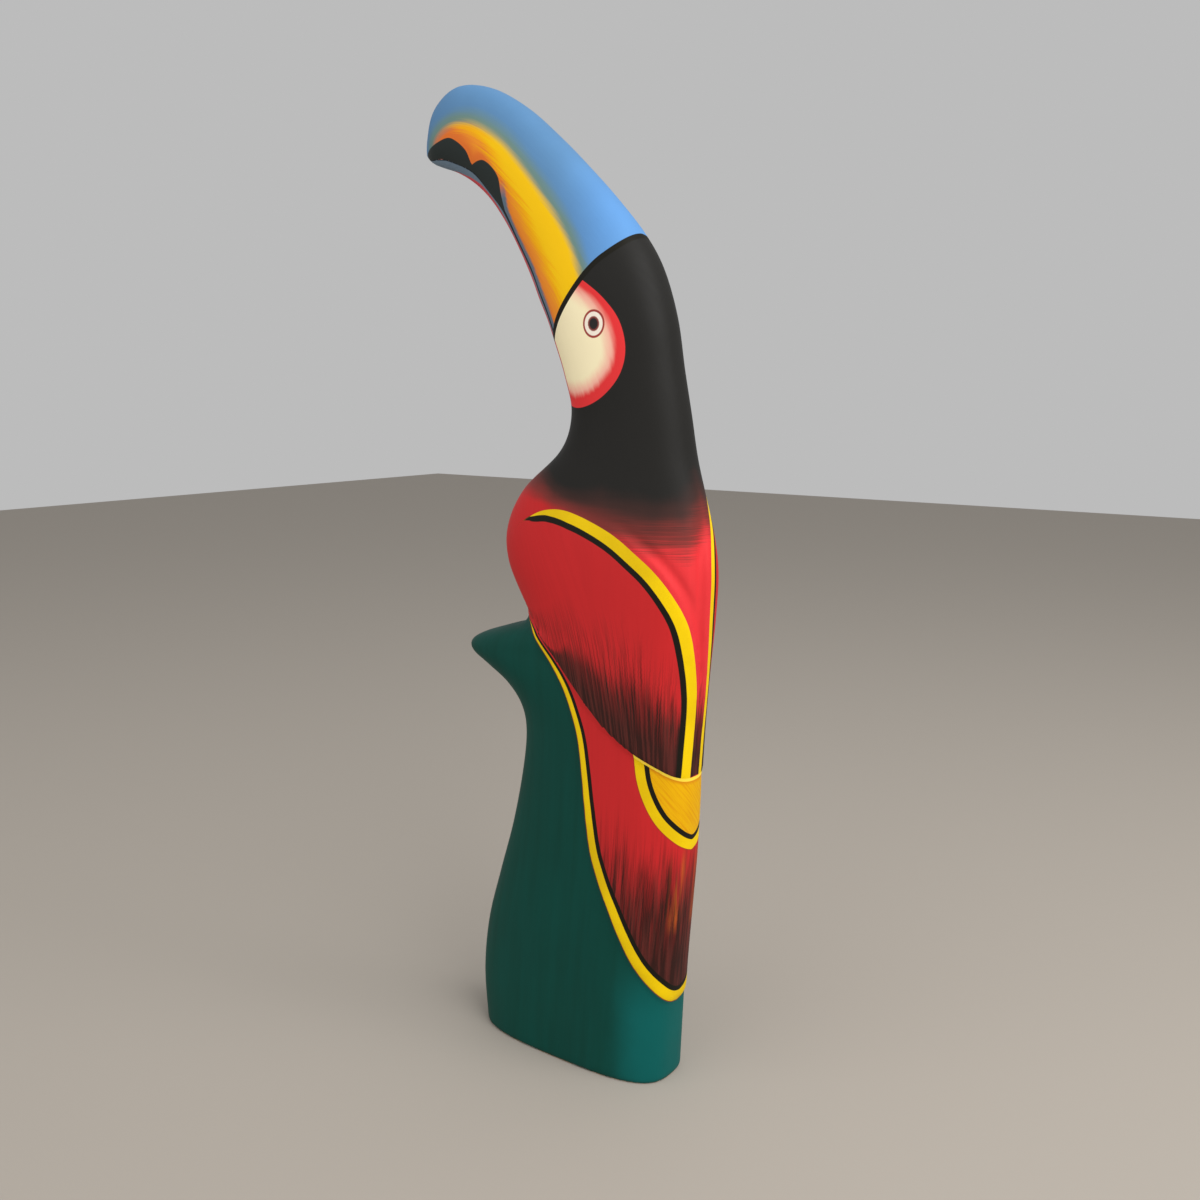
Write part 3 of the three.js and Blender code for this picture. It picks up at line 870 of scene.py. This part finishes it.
class CarvingPaint(Mixer):
    """The hand painting of the carving."""

    def __init__(self, settings, fields):
        super().__init__("toucan_paint")
        self.settings = settings
        self.place = self.value("ShaderNodeTexCoord", output="Object")
        wander = (self.noise(self.place, 45, 2) - 0.5) * (2 * settings.unevenness / MM)
        self.at = {name: self.field(name) + (wander if name in HAND_PAINTED else 0.0) for name in fields}
        axes = self.node("ShaderNodeSeparateXYZ", None, {0: self.place})
        self.side, self.back, self.high = (Value(self, axes.outputs[k]) * (1 / MM) for k in range(3))
        self.mottle = self.noise(self.place, 28, 3)

    def inside(self, name, from_edge=0.0, soft=EDGE):
        """A mask of what lies further than a distance inside a painted line."""
        return self.step(self.at[name], from_edge - soft / 2, from_edge + soft / 2)

    def brush(self, across, along, detail=2.0):
        """Noise drawn out along the brush, with strokes of a width and a length in millimetres."""
        place = self.vector(self.at["round"] / across, self.at["run"] / along, self.side / 9)
        return self.noise(place, 1.0, detail)

    def level_brush(self, across, along):
        """Noise drawn out level round the body."""
        return self.noise(self.vector(self.side / along, self.back / along, self.at["run"] / across), 1.0)

    def slanted_brush(self, across, along):
        """Noise drawn out from the upper left to the lower right."""
        slant = self.at["girth"] - self.at["run"] * 0.8
        return self.noise(self.vector(slant / across, (self.at["girth"] + self.at["run"]) / along, 0.0), 1.0)

    def stump(self):
        colour = self.blend(self.brush(5, 70), self.settings.green, STUMP_LIGHT)
        # Painted light: a lighter teal low on the stump's back, where the light falls on it
        lit_patch = self.step(self.back + self.mottle * 12, *LIT_PATCH_FROM_BACK)
        lit_patch = lit_patch * (1 - self.step(self.high + self.mottle * 14, *LIT_PATCH_TO_TOP))
        colour = self.blend(lit_patch * 0.8, colour, STUMP_LIT_GREEN)
        return self.shade(colour, self.mottle * 0.3 + 0.85)

    def streaked_red(self):
        """The red of wings and tail, with the brown strokes that run up into it."""
        middle = self.brush(1.2, 42)
        hair = self.step(self.brush(0.42, 24), 0.42, 0.6)
        patches = (middle - 0.5) * 0.5 + (self.brush(6, 50) - 0.5) * 0.6
        mass = 1 - self.step(self.at["strokes"] + patches, 0.72, 1.25)
        low = 1 - self.step(self.at["hairs"] + patches * 0.6, 0.5, 1.1)
        gaps = (1 - hair) * self.line(self.at["strokes"], 0.3, 1.1) * 0.4
        # Painted sheen: the mantle between the wings turns a lighter, pinker red towards the back
        on_mantle = (1 - self.inside("wing")) * self.step(self.back, *MANTLE_SHEEN_BACK) * self.inside("foot")
        red = self.blend(on_mantle, self.settings.red, MANTLE_SHEEN_RED)
        red = self.shade(red, self.brush(2.5, 60) * 0.16 + 0.92)
        dark = self.blend(self.step(middle, 0.4, 0.65), BROWN, LIGHT_BROWN)
        return self.blend(mass * (1 - gaps) + (1 - mass) * hair * low * 0.55, red, dark)

    def tail(self):
        colour = self.streaked_red()
        from_spine = self.math("ABSOLUTE", self.side, 0.0)
        beside_spine = self.between(from_spine, *WARM_BESIDE_SPINE)
        low = self.between(self.high, *WARM_HEIGHTS)
        warm = self.step(self.brush(0.9, 45), 0.4, 0.62) * beside_spine * low * 0.8
        colour = self.blend(warm, colour, self.blend(self.brush(1.2, 30), OLIVE, STREAK_ORANGE))
        colour = self.blend(1 - self.inside("tail_black"), colour, LINE_BLACK)
        return self.blend(1 - self.inside("tail_yellow"), colour, self.band_yellow())

    def band_yellow(self):
        return self.blend(self.step(self.mottle, 0.35, 0.7), self.settings.yellow, BAND_SHADE)

    def rump(self):
        slanted = self.slanted_brush(0.8, 26)
        gold = self.blend(self.step(slanted, 0.4, 0.72) * 0.75, RUMP_GOLD, RUMP_ORANGE)
        # Painted shadow: a darker orange just under the wings' foot, where the step shades the rump
        gold = self.blend(self.step(self.at["foot"], -3.6, -1.6), gold, RUMP_SHADE)
        colour = self.blend(1 - self.inside("rump", RUMP_YELLOW + RUMP_BLACK), gold, LINE_BLACK)
        colour = self.blend(1 - self.inside("rump", RUMP_YELLOW), colour, self.band_yellow())
        # Painted highlight: pale yellow along the step's edge under the wings' foot
        return self.blend(self.inside("foot", -1.5), colour, STEP_HIGHLIGHT_YELLOW)

    def lower_part(self):
        """The stump with the tail and the rump that lie on it."""
        colour = self.blend(self.inside("tail", -0.5) * 0.8, self.stump(), RUST)
        colour = self.blend(self.inside("tail"), colour, self.tail())
        colour = self.blend(self.inside("rump", -0.45) * 0.7, colour, RUST)
        return self.blend(self.inside("rump"), colour, self.rump())

    def neck_fade(self, red):
        """The black of the neck over a red, through browns, with level marks where it ends."""
        height = self.at["neck"] + (self.mottle - 0.5) * 5 + (self.level_brush(5, 50) - 0.5) * 5
        low = self.step(self.back, *MARKS_BACK) * self.between(height, *MARKS_LEVEL)
        height = height + (self.level_brush(0.55, 25) - 0.5) * low * 16
        colour = self.blend(self.step(height, -14, -2), red, FADE_RED)
        colour = self.blend(self.step(height, -5, 9), colour, FADE_DARK)
        return self.blend(self.step(height, 3, 19), colour, self.settings.black)

    def wings(self):
        """Wings and mantle below the neck, with the stripe along each wing's edge."""
        red = self.streaked_red()
        stripe = self.inside("wing") * (1 - self.inside("wing_yellow"))
        dark_line = self.inside("wing_yellow", -0.3) * (1 - self.inside("wing_black"))
        colour = self.blend(self.inside("wing_black"), self.neck_fade(red), red)
        colour = self.blend(dark_line, colour, LINE_BLACK)
        return self.blend(stripe, colour, self.band_yellow())

    def face(self):
        soft = (self.brush(1.6, 18) - 0.5) * 2.6
        border = FACE_BORDER[0] - self.line(self.high, *FACE_NARROWS) * FACE_BORDER[1]
        inward = self.at["face"] + soft - border
        colour = self.blend(self.step(inward, -1.4, 2.6), FACE_RED, FACE_PINK)
        colour = self.blend(self.step(inward, 0.6, 8.4), colour, CREAM)
        ring = self.step(self.at["eye"], EYE_RING - EYE_LINE - 0.2, EYE_RING - EYE_LINE + 0.2)
        eye = self.blend(ring, EYE_WHITE, EYE_RED)
        pupil = self.blend(self.step(self.at["eye"], PUPIL - 0.4, PUPIL + 0.4), PUPIL_DARK, PUPIL_EDGE)
        eye = self.blend(self.step(self.at["eye"], PUPIL_RIM - 0.3, PUPIL_RIM + 0.3), pupil, eye)
        return self.blend(self.step(self.at["eye"], EYE_RING - 0.2, EYE_RING + 0.2), eye, colour)

    def head(self):
        patch = self.inside("face") * self.inside("bill_line", BILL_BLACK[1])
        colour = self.blend(patch, self.settings.black, self.face())
        strip = (1 - self.inside("keel")) * self.inside("face")
        return self.blend(strip * self.inside("bill_line", BILL_BLACK[1]), colour, KEEL_RED)

    def bill(self):
        streak = self.brush(0.55, 40)
        broad = self.brush(3.4, 110)
        low = self.at["beak_low"] + (streak - 0.5) * 2.4
        gold = self.at["gold"] + (streak - 0.5) * 14 + (broad - 0.5) * 3
        orange = self.blend(self.step(low + (broad - 0.5) * 4, 1.5, 8), DEEP_ORANGE, ORANGE)
        orange = self.blend(self.step(streak, 0.5, 0.75) * 0.6, orange, DEEP_ORANGE)
        warm = self.blend(self.step(gold, -4, 1.2), orange, GOLD)
        warm = self.blend(self.step(gold, 0.2, 5), warm, BILL_YELLOW)
        grey_band = (1 - self.step(low, 2.8, 4.8)) * (1 - self.step(self.high, 440, 450))
        warm = self.blend(grey_band, warm, BILL_GREY)
        change = self.at["blend"] + (broad - 0.5) * 3.0 + (streak - 0.5) * 1.5
        # Painted light: the bill's blue is lighter towards its back, where the light falls, and darker
        # towards the tip
        cool = self.blend(self.step(self.back, -10, 28), TIP_BLUE, self.settings.blue)
        cool = self.shade(cool, self.mottle * 0.2 + 0.92)
        colour = self.blend(self.step(change, -7, -0.4), cool, BLEND_GREEN)
        colour = self.blend(self.step(change, -1, 4.4), colour, warm)
        colour = self.blend(1 - self.inside("gape"), colour, self.blend(streak, BILL_GREY, PALE_GREY))
        colour = self.blend(1 - self.inside("keel"), colour, KEEL_RED)
        colour = self.blend(self.inside("gape_dark"), colour, GAPE_DARK)
        return self.blend(self.inside("patch"), colour, PATCH_BLACK)

    def upper_part(self):
        """The bird above the foot of its wings."""
        colour = self.blend(self.step(self.at["neck"], *WINGS_END), self.wings(), self.head())
        bill = 1 - self.inside("bill_line", -BILL_BLACK[0])
        line = self.inside("bill_line", -BILL_BLACK[0]) * (1 - self.inside("bill_line", BILL_BLACK[1]))
        high = self.step(self.at["neck"], *BILL_START)
        colour = self.blend(line * high, colour, LINE_BLACK)
        return self.blend(bill * high, colour, self.bill())

    def paint(self):
        """Lays on all of the paint and returns the material."""
        colour = self.blend(self.inside("foot"), self.lower_part(), self.upper_part())
        rings = self.noise(self.vector(self.side / 4, self.at["round"] / 60, 0.0), 1.0, 3)
        wood = self.blend(self.step(rings, 0.4, 0.6), RAW_WOOD, RAW_WOOD_DARK)
        colour = self.blend(self.step(self.at["under"], 0.4, 0.6), colour, wood)
        fine = self.brush(0.8, 12, 3.0)
        height = fine * 0.00007 + self.noise(self.place, 95, 2) * 0.0002
        bump = self.value("ShaderNodeBump", None, {"Strength": 0.5, "Distance": 1.0, "Height": height})
        return self.finish({
            "Base Color": colour,
            "Roughness": self.mottle * 0.16 + fine * 0.1 + 0.42,
            "Normal": bump,
            "Specular IOR Level": 0.14,
        })


# Operators

class TOUCAN_OT_build_carving(bpy.types.Operator):
    """Carves and paints the toucan and its stump"""

    bl_idname = "toucan.build_carving"
    bl_label = "Build Carving"

    def execute(self, context):
        settings = context.scene.toucan_carving
        mesh = carved_mesh(settings)
        fit_to_solid(mesh)
        fields = painted_fields(mesh)
        carve_wing_edges(mesh, fields["wing"])
        fit_to_solid(mesh)
        require_closed(mesh)
        mesh.shade_smooth()
        keep_fields(mesh, fields)
        mesh.materials.clear()
        mesh.materials.append(CarvingPaint(settings, fields).paint())
        mesh.name = "toucan_carving"
        carving = bpy.data.objects.new("toucan_carving", mesh)
        context.scene.collection.objects.link(carving)
        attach(carving, "root")
        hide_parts(NODE)
        return {"FINISHED"}


CAMERA_PLACE = (0.4789, 0.3656, 0.3514)
CAMERA_AIM = (-0.7922, -0.5840, -0.1771)
CAMERA_LENS = 36.06
KEY_PLACE = (0.2, 1, 1.15)
KEY_SIZE = 1.3
FILL_PLACE = (1.5, -0.5, 0.8)
FILL_SIZE = 1.8
STAGE_AIM = (0, 0, 0.25)
FLOOR_COLOUR = srgb(168, 160, 150)
AIR_COLOUR = srgb(236, 236, 236)


def soft_light(name, place, size, power):
    """A large square light aimed at the carving."""
    lamp = bpy.data.lights.new(name, "AREA")
    lamp.size = size
    lamp.energy = power
    light = bpy.data.objects.new(name, lamp)
    light.location = place
    light.rotation_euler = (Vector(STAGE_AIM) - Vector(place)).to_track_quat("-Z", "Y").to_euler()
    bpy.context.scene.collection.objects.link(light)


class TOUCAN_OT_build_stage(bpy.types.Operator):
    """Sets the floor, the lights and the camera"""

    bl_idname = "toucan.build_stage"
    bl_label = "Build Stage"

    def execute(self, context):
        settings = context.scene.toucan_stage
        reach = settings.reach
        mesh = bpy.data.meshes.new("floor")
        corners = [(-reach, -reach, 0), (reach, -reach, 0), (reach, reach, 0), (-reach, reach, 0)]
        mesh.from_pydata(corners, [], [(0, 1, 2, 3)])
        paper = {"Base Color": (*FLOOR_COLOUR, 1), "Roughness": 0.9}
        mesh.materials.append(Mixer("floor_paper").finish(paper))
        floor = bpy.data.objects.new("floor", mesh)
        context.scene.collection.objects.link(floor)
        soft_light("key_light", KEY_PLACE, KEY_SIZE, settings.key)
        soft_light("fill_light", FILL_PLACE, FILL_SIZE, settings.fill)
        world = bpy.data.worlds.new("room")
        world.use_nodes = True
        air = world.node_tree.nodes["Background"]
        air.inputs["Color"].default_value = (*AIR_COLOUR, 1)
        air.inputs["Strength"].default_value = settings.air
        context.scene.world = world
        context.scene.view_settings.view_transform = "Standard"
        camera_data = bpy.data.cameras.new("camera")
        camera_data.lens = CAMERA_LENS
        camera = bpy.data.objects.new("camera", camera_data)
        camera.location = CAMERA_PLACE
        camera.rotation_euler = Vector(CAMERA_AIM).to_track_quat("-Z", "Y").to_euler()
        context.scene.collection.objects.link(camera)
        context.scene.camera = camera
        return {"FINISHED"}


class TOUCAN_PT_sidebar(bpy.types.Panel):
    """Settings and steps of the toucan carving"""

    bl_label = "Toucan Carving"
    bl_idname = "TOUCAN_PT_sidebar"
    bl_space_type = "VIEW_3D"
    bl_region_type = "UI"
    bl_category = "Toucan"

    def draw(self, context):
        column = self.layout.column()
        for group in (context.scene.toucan_carving, context.scene.toucan_stage):
            for name in group.__annotations__:
                column.prop(group, name)
        for step in STEPS:
            column.operator(step.bl_idname)


STEPS = (TOUCAN_OT_build_carving, TOUCAN_OT_build_stage)
CLASSES = (CarvingSettings, StageSettings, *STEPS, TOUCAN_PT_sidebar)


def register():
    for cls in CLASSES:
        bpy.utils.register_class(cls)
    bpy.types.Scene.toucan_carving = bpy.props.PointerProperty(type=CarvingSettings)
    bpy.types.Scene.toucan_stage = bpy.props.PointerProperty(type=StageSettings)


def unregister():
    del bpy.types.Scene.toucan_stage
    del bpy.types.Scene.toucan_carving
    for cls in reversed(CLASSES):
        bpy.utils.unregister_class(cls)


def main():
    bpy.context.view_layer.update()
    register()
    bpy.ops.toucan.build_carving()
    bpy.ops.toucan.build_stage()


if __name__ == "__main__":
    main()
